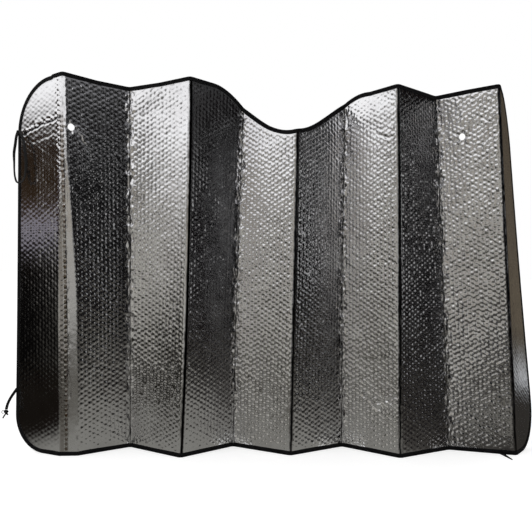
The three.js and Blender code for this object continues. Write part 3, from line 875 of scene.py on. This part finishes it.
def foil_panel(panel, material):
    """One panel of the sheet as a closed mesh: its front film, its back film and its rim."""
    column, row, across, height, triangles = panel_grid(panel)
    rim = rim_of(triangles)
    across, height = drawn_to_edge(column, across, height, rim)
    middle, front = middle_and_front(across, height)
    pressed, brown_reflection_share, from_fold, fold = pressed_share(across, height)
    first = panel == 0
    at_first_fold = smoothstep(*BESIDE_FIRST_FOLD, across - PANEL_WIDTH) * first
    fullness = np.maximum(through_three(FULLNESS[panel], height), FULL_BESIDE_FIRST_FOLD * at_first_fold)
    relief = foil_relief(column, row) * fullness
    sunk, painted_crease_shade = creased(across, height)
    grain = CRINKLE[panel] * unevenness(across, height, FILM_GRAIN)
    past_tape = smoothstep(TAPE_WIDTH, TAPE_WIDTH + GRAIN_FADE, inside_outline(across, height))
    small = (crushed(across, height, from_fold, fold) - sunk + grain) * past_tape
    moved = sway(across, height) + small
    pressed_half = PRESSED_THICKNESS / 2 * pressed
    base_half = FOIL_THICKNESS / 2 - BUBBLE_HEIGHT
    front_half = pressed_half + (base_half + FRONT_BUBBLE_HEIGHT * relief) * (1 - pressed)
    back_half = pressed_half + (base_half + BACK_BUBBLE_HEIGHT * relief) * (1 - pressed)
    front_points = middle + front * (moved + front_half)[:, None]
    back_points = middle + front * (moved - back_half)[:, None]

    count = len(across)
    start, end = rim.T
    walls = [
        np.column_stack([end, start, start + count]),
        np.column_stack([end, start + count, end + count]),
    ]
    faces = np.concatenate([triangles, triangles[:, ::-1] + count, *walls])
    points = np.concatenate([front_points, back_points])
    piece = mesh_piece(f"foil_panel_{panel + 1}", points, faces, material)
    # Painted shade along the folds, and on the first panel along its deepest creases.
    painted_fold_shade = np.maximum(painted_fold_shade_share(across, height, from_fold, fold), 0.95 * painted_crease_shade * first)
    # A brown tint beside the first fold, painted as a reflection, on the first panel only.
    on_bubbles = np.where(brown_reflection_share > 0.55, 0.9 * relief, 1)
    painted_brown_reflection = np.clip(brown_reflection_share * on_bubbles, 0, 1) * first
    for name, share in (("pressed", pressed), ("painted_fold_shade", painted_fold_shade), ("painted_brown_reflection", painted_brown_reflection)):
        layer = piece.data.attributes.new(name, "FLOAT", "POINT")
        layer.data.foreach_set("value", np.concatenate([share, share]).astype(np.float32))
    piece.data.set_sharp_from_angle(angle=SHARP_FROM)
    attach(piece, "root")
    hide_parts("foil_sheet")
    return piece


film = aluminised_film()
for panel in range(PANEL_COUNT):
    foil_panel(panel, film)

# Edge tape. A black polyester ribbon is folded over the pressed rim of the foil all the way round and
# lockstitched through. Its inner edge wanders a little, as hand-fed tape does.
TAPE_THICKNESS = 0.0007
TAPE_CLEARANCE = 0.0003
TAPE_EDGE_ROUNDING = 0.0006
TAPE_STEP = 0.004


def quarter_circle(x, y, radius, start):
    """Points anticlockwise round a quarter of a circle, from a direction in degrees."""
    turn = np.radians(start + np.linspace(0, 90, 60))
    return np.column_stack([x + radius * np.cos(turn), y + radius * np.sin(turn)])


def outline_round():
    """Points once round the edge of the flat sheet, with the direction into it, in steps of TAPE_STEP."""
    left, right, top = LEFT_FOOT_CORNER_RADIUS, RIGHT_FOOT_CORNER_RADIUS, TOP_CORNER_RADIUS
    foot = np.linspace(left, SHADE_WIDTH - right, 900)[1:-1]
    right_side = np.linspace(right, SHADE_HEIGHT - top, 400)[1:-1]
    head = np.linspace(SHADE_WIDTH - top, top, 900)[1:-1]
    left_side = np.linspace(SHADE_HEIGHT - top, left, 400)[1:-1]
    dense = np.vstack(
        [
            quarter_circle(left, left, left, 180),
            np.column_stack([foot, np.zeros_like(foot)]),
            quarter_circle(SHADE_WIDTH - right, right, right, 270),
            np.column_stack([np.full_like(right_side, SHADE_WIDTH), right_side]),
            quarter_circle(SHADE_WIDTH - top, SHADE_HEIGHT - top, top, 0),
            np.column_stack([head, top_edge(head)[0]]),
            quarter_circle(top, SHADE_HEIGHT - top, top, 90),
            np.column_stack([np.zeros_like(left_side), left_side]),
        ]
    )
    closed = np.vstack([dense, dense[:1]])
    run = run_along(closed)
    count = int(run[-1] / TAPE_STEP)
    where = np.linspace(0, run[-1], count, endpoint=False)
    points = np.column_stack([np.interp(where, run, closed[:, 0]), np.interp(where, run, closed[:, 1])])
    along = np.roll(points, -1, axis=0) - np.roll(points, 1, axis=0)
    along /= np.linalg.norm(along, axis=1)[:, None]
    inward = np.column_stack([-along[:, 1], along[:, 0]])
    return points, inward, where


def woven_ribbon():
    """Polyester grosgrain ribbon: fine cross ribs of matt yarn, dusty in soft patches."""
    material, tree = new_material("woven_ribbon")
    rib_spacing = 0.0011
    yarn_spacing = 0.0006
    relief_depth = 0.00012
    dust_size = 0.02
    ribs = yarn_wave(tree, "X", rib_spacing, "COSINE")
    yarns = yarn_wave(tree, "Y", yarn_spacing, "SINE")
    weave = add_node(tree, "Math", {0: yarns, 1: 0.5, 2: ribs}, operation="MULTIPLY_ADD").outputs[0]
    place = add_node(tree, "TexCoord").outputs["Object"]
    clouds = {"Vector": place, "Scale": 1 / dust_size, "Detail": 5.0, "Roughness": 0.65}
    dust = add_node(tree, "TexNoise", clouds).outputs[0]
    shade = add_node(tree, "MapRange", {"Value": dust, "From Min": 0.35, "From Max": 0.75})
    black_yarn(
        tree,
        shade.outputs[0],
        ["#070708", "#121112"],
        {"Height": weave, "Strength": 0.5, "Distance": relief_depth},
        {"Roughness": 0.9, "Specular IOR Level": 0.15, "Sheen Weight": 0.03, "Sheen Roughness": 0.4},
    )
    return material


def on_tape(points, inward, depth, forward):
    """Places so deep in from the edge, and so far forward of the sheet's middle layer."""
    flat = points + inward * depth[:, None]
    middle, front = middle_and_front(flat[:, 0], flat[:, 1])
    return middle + front * forward[:, None]


# The tape's closed section, as depth from the edge and distance from the sheet's middle: its front from
# the inner edge to the fold, the same for its back, and its inside.
INNER = PRESSED_THICKNESS / 2 + TAPE_CLEARANCE
OUTER = INNER + TAPE_THICKNESS
TAPE_SECTION = [
    (TAPE_WIDTH, INNER),
    (TAPE_WIDTH, OUTER - 0.0002),
    (TAPE_WIDTH - 0.0004, OUTER),
    (0.0068, OUTER - 0.00015),
    (0.0045, OUTER + 0.0001),
    (0.002, OUTER),
    (TAPE_EDGE_ROUNDING, OUTER - 0.0001),
    (0.0002, OUTER - 0.0005),
    (0.0, 0.0),
]
TAPE_SECTION += [(depth, -forward) for depth, forward in reversed(TAPE_SECTION[:-1])]
TAPE_SECTION += [(TAPE_THICKNESS, -INNER), (TAPE_THICKNESS, INNER)]
WANDER_LENGTH = 0.03
WANDER_INWARD = (-0.0004, 0.0006)
PUCKER_LENGTH = 0.0085
PUCKER_HEIGHT = 0.00012

ribbon = woven_ribbon()
tape_points, tape_inward, tape_run = outline_round()
tape_length = len(tape_points)
wander_places = np.arange(0, tape_run[-1] + 0.1, WANDER_LENGTH)
wander_steps = np.random.default_rng(11).uniform(*WANDER_INWARD, len(wander_places))
wander = np.interp(tape_run, wander_places, wander_steps)
pucker = PUCKER_HEIGHT * np.sin(tape_run * 2 * math.pi / PUCKER_LENGTH)
lines = []
line_uv = []
girth = 0.0
for i, (depth, forward) in enumerate(TAPE_SECTION):
    free_edge = smoothstep(0.005, TAPE_WIDTH, depth)
    outside = depth > 0.001 and abs(forward) > INNER + 1e-5
    puckered = forward + np.sign(forward) * pucker * outside
    lines.append(on_tape(tape_points, tape_inward, depth + wander * free_edge, puckered))
    if i > 0:
        girth += math.dist(TAPE_SECTION[i], TAPE_SECTION[i - 1])
    line_uv.append(np.column_stack([tape_run, np.full(tape_length, girth)]))
tape_vertices = np.stack(lines, axis=1).reshape(-1, 3)
tape_faces = swept_faces(tape_length, len(lines), closed_run=True)
tape_uv = np.stack(line_uv, axis=1).reshape(-1, 2)
tape = mesh_piece("edge_tape", tape_vertices, tape_faces, ribbon, tape_uv)
close_ends(tape)
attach(tape, "root")
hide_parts("edge_binding")

# Lockstitch. One row of black polyester thread runs round the tape near its inner edge and holds both of
# its sides to the foil. Each stitch dips into the tape at its two ends.
STITCH_PITCH = 0.0040
STITCH_LENGTH = 0.0031
STITCH_INSET = 0.0072
THREAD_RADIUS = 0.00030
BOW_PLACES = np.array([0, 0.25, 0.75, 1.0])
BOW_RISE = np.array([-0.0003, 0.00018, 0.00018, -0.0003])


def polyester_thread():
    """Twisted polyester thread: black and smooth, so it catches a little more light than the tape. Its tone
    follows the strands' relief: painted highlight on their crests and painted shade between them.
    """
    material, tree = new_material("polyester_thread")
    strand_pitch = 0.0009
    relief_depth = 0.0001
    place = add_node(tree, "TexCoord").outputs["Object"]
    twisted = {"Vector": place, "Scale": 1 / strand_pitch / 20, "Distortion": 2.0}
    strands = add_node(tree, "TexWave", twisted, bands_direction="DIAGONAL").outputs[1]
    # Painted highlight and shade: the tone follows the strands, lighter on their crests.
    black_yarn(
        tree,
        strands,
        ["#0a0a0b", "#242325"],
        {"Height": strands, "Strength": 0.4, "Distance": relief_depth},
        {"Roughness": 0.55, "Specular IOR Level": 0.3},
    )
    return material


def lockstitch(material):
    """Every stitch as a small closed bow of thread, on the tape's front and back. A bow has four rings of
    four corners."""
    run_length = tape_run[-1] + TAPE_STEP
    starts = np.arange(0, run_length - STITCH_PITCH, STITCH_PITCH)
    count = len(starts)
    where = (starts[:, None] + BOW_PLACES * STITCH_LENGTH).ravel()
    closed_run = np.append(tape_run, run_length)
    at, into = [
        np.column_stack([np.interp(where, closed_run, np.append(way[:, i], way[0, i])) for i in (0, 1)])
        for way in (tape_points, tape_inward)
    ]
    bow_faces = np.vstack([swept_faces(4, 4), [[3, 2, 1, 0], [12, 13, 14, 15]]])
    points = []
    faces = []
    for side, turned_faces in ((1, bow_faces), (-1, bow_faces[:, ::-1])):
        corners = []
        for sideways, outward in ((-1, 0), (0, 1), (1, 0), (0, -1)):
            depth = np.full(len(at), STITCH_INSET + sideways * THREAD_RADIUS)
            lift = OUTER + np.tile(BOW_RISE, count) + outward * THREAD_RADIUS
            corners.append(on_tape(at, into, depth, side * lift))
        first = (len(points) * count + np.arange(count))[:, None] * 16
        faces += [first + quad for quad in turned_faces]
        points.append(np.stack(corners, axis=1).reshape(-1, 3))
    stitches = mesh_piece("lockstitch", np.concatenate(points), np.concatenate(faces), material)
    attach(stitches, "root")


lockstitch(polyester_thread())

# Free end of the tape. Where the tape began, its end was left long, and it lies forward on the ground as
# a folded wedge.
TAIL_TO_LAST_FOLD = 0.03
TAIL_ROOT_WIDTH = 0.011
TAIL_LENGTH = 0.045
TAIL_TURN = math.radians(8)
TAIL_THICKNESS = 0.0014
TAIL_SQUEEZE = 0.98
TAIL_TIP_HALF_WIDTH = 0.0008
TAIL_SECTION_DEPTH = 0.25


def tape_tail(material):
    """The folded end of the tape: full width at its root, rolled to a point at its tip."""
    root_across = (PANEL_COUNT - 1) * PANEL_WIDTH - TAIL_TO_LAST_FOLD
    ends = np.array([root_across - TAIL_ROOT_WIDTH / 2, root_across + TAIL_ROOT_WIDTH / 2])
    middle_line, front_line = middle_and_front(ends, np.zeros(2))
    left, right = middle_line + front_line * (PRESSED_THICKNESS / 2 + TAPE_CLEARANCE + TAPE_THICKNESS / 2)
    root = (left + right) / 2
    way = np.array([TAIL_LENGTH * math.sin(TAIL_TURN), -TAIL_LENGTH * math.cos(TAIL_TURN), 0])
    root_half = (right - left) / 2
    tip_half = np.array([TAIL_TIP_HALF_WIDTH, 0, 0])
    section = band_section(1.0, TAIL_SECTION_DEPTH, 5)
    shares = np.linspace(0, 1, 24)
    points = []
    for share in shares:
        centre = root + way * share
        half = root_half * (1 - share) + tip_half * share
        roll = 0.0009 * math.sin(math.pi * share) + 0.0003 * math.sin(9 * share)
        for across, through in section:
            height = TAIL_THICKNESS / 2 * (1 + 2 * through / TAIL_SECTION_DEPTH) * TAIL_SQUEEZE
            points.append(centre + 2 * across * half + np.array([0, 0, height + roll * (0.5 + across)]))
    corners = len(section)
    along = np.repeat(shares * TAIL_LENGTH, corners)
    uv = np.column_stack([along, np.tile(section[:, 0] * TAIL_ROOT_WIDTH, len(shares))])
    tail = mesh_piece("tape_tail", points, swept_faces(len(shares), corners), material, uv)
    close_ends(tail)
    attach(tail, "root")
    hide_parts("edge_binding")


tape_tail(ribbon)

# Floor, surround and light. The shade stands on a pale floor in plain soft light. Screens round it glow
# in painted colours. The camera doesn't see them, and they give the foil something to mirror: light ones
# on the left, in front of the shade and behind it, and mostly dark ones elsewhere.
scene = bpy.context.scene
scene.view_settings.view_transform = "Standard"
FLOOR_GLOW = 0.45


def seen_rays(tree):
    """1 for the rays of the camera, of mirrors and of glass, and 0 for those that only carry light."""
    rays = add_node(tree, "LightPath").outputs
    two = {0: rays["Is Camera Ray"], 1: rays["Is Glossy Ray"]}
    three = {0: add_node(tree, "Math", two, operation="ADD").outputs[0], 1: rays["Is Transmission Ray"]}
    return add_node(tree, "Math", three, operation="ADD", use_clamp=True).outputs[0]


def white_floor():
    """Pale matt paint, which looks nearly as white as the background to every ray that sees it."""
    material, tree = new_material("white_floor")
    matt = {"Base Color": linear("#e6e6e6"), "Roughness": 0.9}
    paint = add_node(tree, "BsdfPrincipled", matt)
    lift = add_node(tree, "Math", {0: seen_rays(tree), 1: FLOOR_GLOW}, operation="MULTIPLY")
    glow = add_node(tree, "Emission", {"Color": linear("#ffffff"), "Strength": lift.outputs[0]})
    both = add_node(tree, "AddShader", {0: paint.outputs[0], 1: glow.outputs[0]})
    add_node(tree, "OutputMaterial", {"Surface": both.outputs[0]})
    return material


reach = 30.0
floor = mesh_piece(
    "floor",
    [(-reach, -reach, 0), (reach, -reach, 0), (reach, reach, 0), (-reach, reach, 0)],
    [[0, 1, 2, 3]],
    white_floor(),
    smooth=False,
)

SURROUND_RADIUS = 1.3
SURROUND_TOP = 2.4


def tone(hex_colour):
    return np.array(linear(hex_colour)[:3])


def by_height(height, steps):
    """A colour that changes smoothly between the heights that are listed with their colours."""
    levels = [level for level, _ in steps]
    tones = np.array([tone(hex_colour) for _, hex_colour in steps])
    return np.column_stack([np.interp(height, levels, tones[:, i]) for i in range(3)])


# Each screen stands between two directions, in degrees anticlockwise from +X seen from above, with a soft
# edge of so many degrees. It is painted in a few tones from the floor up, each with its height in metres.
SCREENS = [
    (-200, -165.5, 1.5, [(0.34, "#060505"), (0.495, "#1a1611"), (0.52, "#c4c0cd"), (0.54, "#c4c0cd"),
                         (0.565, "#2d2217"), (0.86, "#241c15"), (0.885, "#ffffff")]),
    (-165.5, -160, 1.5, [(0.08, "#2a2926"), (0.30, "#3c3a36"), (0.42, "#8c8a86"), (0.60, "#b8b6b2"),
                         (0.78, "#dcdcdc"), (0.88, "#ffffff")]),
    (-160, -153, 1.5, [(0.08, "#4a4944"), (0.22, "#4e4c47"), (0.42, "#92908a"), (0.60, "#c2c0bc"),
                       (0.80, "#e0e0e0"), (0.90, "#ffffff")]),
    (-153, -141, 2, [(0.08, "#7c7a73"), (0.27, "#98968f"), (0.64, "#a19f9b"), (0.78, "#c8c8c8"),
                     (0.88, "#ffffff")]),
    (-141, -128, 2, [(0.08, "#b0aea6"), (0.38, "#aaa8a1"), (0.54, "#5c5a56"), (0.84, "#6a6967"),
                     (0.94, "#e0e0e0"), (1.0, "#ffffff")]),
    (-128, -92, 3, [(0.08, "#a09f9b"), (0.36, "#a6a49f"), (0.55, "#948d80"), (0.72, "#959189"),
                    (0.85, "#a4a4a4"), (1.0, "#ffffff")]),
    (-92, -66, 3, [(0.1, "#1a191a"), (0.3, "#262526"), (0.5, "#3a3a3a"), (0.9, "#3a3a3a")]),
    (-88, -80, 1.5, [(0.1, "#303030"), (0.3, "#8c8c8c"), (0.62, "#acacac"), (0.76, "#4c4c4c")]),
    (-50, -36, 3, [(0.1, "#100f0f"), (0.28, "#121111"), (0.9, "#1c1b1c"), (1.02, "#5a5a5a")]),
    (-25, -16, 2, [(0.18, "#242223"), (0.34, "#bcbcbc"), (0.64, "#b4b4b4"), (0.80, "#707070"),
                   (0.95, "#3a3a3a")]),
    (-12, 22, 4, [(0.1, "#1c1a1a"), (0.6, "#0e0c0d"), (1.0, "#0e0c0d")]),
    (22, 84, 8, [(0.025, "#1c1a18"), (0.06, "#b8babc"), (0.105, "#aaacad"), (0.14, "#4e4a43"),
                 (0.25, "#5e564a"), (1.0, "#4e463c")]),
    (96, 112, 4, [(0.1, "#8a8680"), (0.6, "#b4b2ae"), (0.9, "#ffffff")]),
    (120, 134, 3, [(0.1, "#a5a29c"), (0.6, "#cfcdc9"), (0.9, "#ffffff")]),
    (141, 157, 3, [(0.1, "#77756f"), (0.6, "#a5a29c"), (0.9, "#f4f4f4")]),
]


def mixed(colour, share, added):
    return colour * (1 - share[:, None]) + added * share[:, None]


def painted_wall(azimuth, height):
    """The colour of the screens and of the dark wall and paler ceiling between and above them."""
    colour = np.tile(tone("#101010"), (len(azimuth), 1))
    for low, high, edge, tones in SCREENS:
        painted = by_height(height, tones)
        for turn in (-360, 0):
            colour = mixed(colour, between(low, high, edge, azimuth + turn), painted)
    over_left = between(-200, -96, 6, azimuth) + between(160, 200, 6, azimuth)
    overhead = smoothstep(1.2, 1.6, height) * (1 - over_left)
    return mixed(colour, overhead, tone("#747476"))


def painted_floor(x, y):
    """The colour that the glowing sheet laid on the floor round the shade gives off, for the foil to
    mirror.
    """
    near = 1 - smoothstep(0.12, 0.35, np.abs(y))
    beside = smoothstep(0.22, 0.36, x) * (1 - smoothstep(0.10, 0.20, np.abs(y)))
    left = 1 - smoothstep(-0.68, -0.52, x)
    in_front = between(-0.05, 0.3, 0.05, x) * smoothstep(0.2, 0.3, -y)
    right = smoothstep(0.46, 0.6, x)
    colour = np.tile(tone("#5a5852"), (len(x), 1))
    colour = mixed(colour, near, tone("#7c7b76"))
    colour = mixed(colour, beside, tone("#3a3835"))
    colour = mixed(colour, left, tone("#14110e"))
    colour = mixed(colour, in_front, tone("#383634"))
    return mixed(colour, right, tone("#302e2b"))


def screen_material(name):
    """A glow in the painted colour, which the foil mirrors and which throws no light on anything else."""
    material, tree = new_material(name)
    paint = add_node(tree, "Attribute", attribute_name="painted").outputs["Color"]
    light = add_node(tree, "Emission", {"Color": paint, "Strength": 1.0})
    add_node(tree, "OutputMaterial", {"Surface": light.outputs[0]})
    return material


SPOKES = 360


def spokes(count):
    """The direction of every spoke round the shade, beside shares from 0 to 1 in so many steps."""
    spoke, share = np.meshgrid(np.arange(SPOKES), np.linspace(0, 1, count), indexing="ij")
    turn = np.radians(spoke.ravel() * 360 / SPOKES)
    return turn, share.ravel()


def screen(name, points, colours):
    """A ring-shaped screen from the points along its spokes, which only mirrors see."""
    faces = swept_faces(SPOKES, len(points) // SPOKES, closed_run=True, closed_section=False)
    made = mesh_piece(name, points, faces, glowing_screen_paint)
    paint = made.data.attributes.new("painted", "FLOAT_COLOR", "POINT")
    opaque = np.column_stack([colours, np.ones(len(colours))])
    paint.data.foreach_set("color", opaque.astype(np.float32).ravel())
    made.visible_camera = False
    made.visible_diffuse = False
    made.visible_shadow = False
    made.visible_transmission = False


glowing_screen_paint = screen_material("glowing_screen_paint")
turn, share = spokes(60)
rise = share * math.pi / 2
wall_x = SURROUND_RADIUS * np.cos(turn) * np.cos(rise)
wall_y = SURROUND_RADIUS * np.sin(turn) * np.cos(rise)
wall_z = SURROUND_TOP * np.sin(rise)
screen("surround", np.column_stack([wall_x, wall_y, wall_z]), painted_wall(np.degrees(turn), wall_z))

SKIRT_HALF_LENGTH = 0.5
SKIRT_HALF_DEPTH = 0.002
SKIRT_HEIGHT = 0.0005
turn, share = spokes(24)
skirt_x = (SKIRT_HALF_LENGTH + (SURROUND_RADIUS - SKIRT_HALF_LENGTH) * share) * np.cos(turn)
skirt_y = (SKIRT_HALF_DEPTH + (SURROUND_RADIUS - SKIRT_HALF_DEPTH) * share) * np.sin(turn)
skirt_z = np.full(len(share), SKIRT_HEIGHT)
screen("skirt", np.column_stack([skirt_x, skirt_y, skirt_z]), painted_floor(skirt_x, skirt_y))

world = bpy.data.worlds.new("white_studio")
scene.world = world
world.use_nodes = True
world_tree = world.node_tree
world_tree.nodes.clear()
soft_light = add_node(world_tree, "Background", {"Color": linear("#ffffff"), "Strength": 0.75})
white = add_node(world_tree, "Background", {"Color": linear("#ffffff"), "Strength": 1.0})
by_ray = {0: seen_rays(world_tree), 1: soft_light.outputs[0], 2: white.outputs[0]}
world_mix = add_node(world_tree, "MixShader", by_ray)
add_node(world_tree, "OutputWorld", {"Surface": world_mix.outputs[0]})


def soft_lamp(name, place, towards, size, watts):
    """A large soft lamp that points at a place and doesn't show in the foil."""
    lamp_data = bpy.data.lights.new(name, "AREA")
    lamp_data.shape = "SQUARE"
    lamp_data.size = size
    lamp_data.energy = watts
    lamp = bpy.data.objects.new(name, lamp_data)
    scene.collection.objects.link(lamp)
    facing = (Vector(towards) - Vector(place)).to_track_quat("-Z", "Y").to_matrix().to_4x4()
    lamp.matrix_world = Matrix.Translation(place) @ facing
    lamp.visible_glossy = False


soft_lamp("key_lamp", (-1.6, -2.0, 2.2), (0, 0, 0.4), 1.6, 30)
soft_lamp("fill_lamp", (1.8, -1.6, 1.8), (0, 0, 0.4), 1.6, 12)
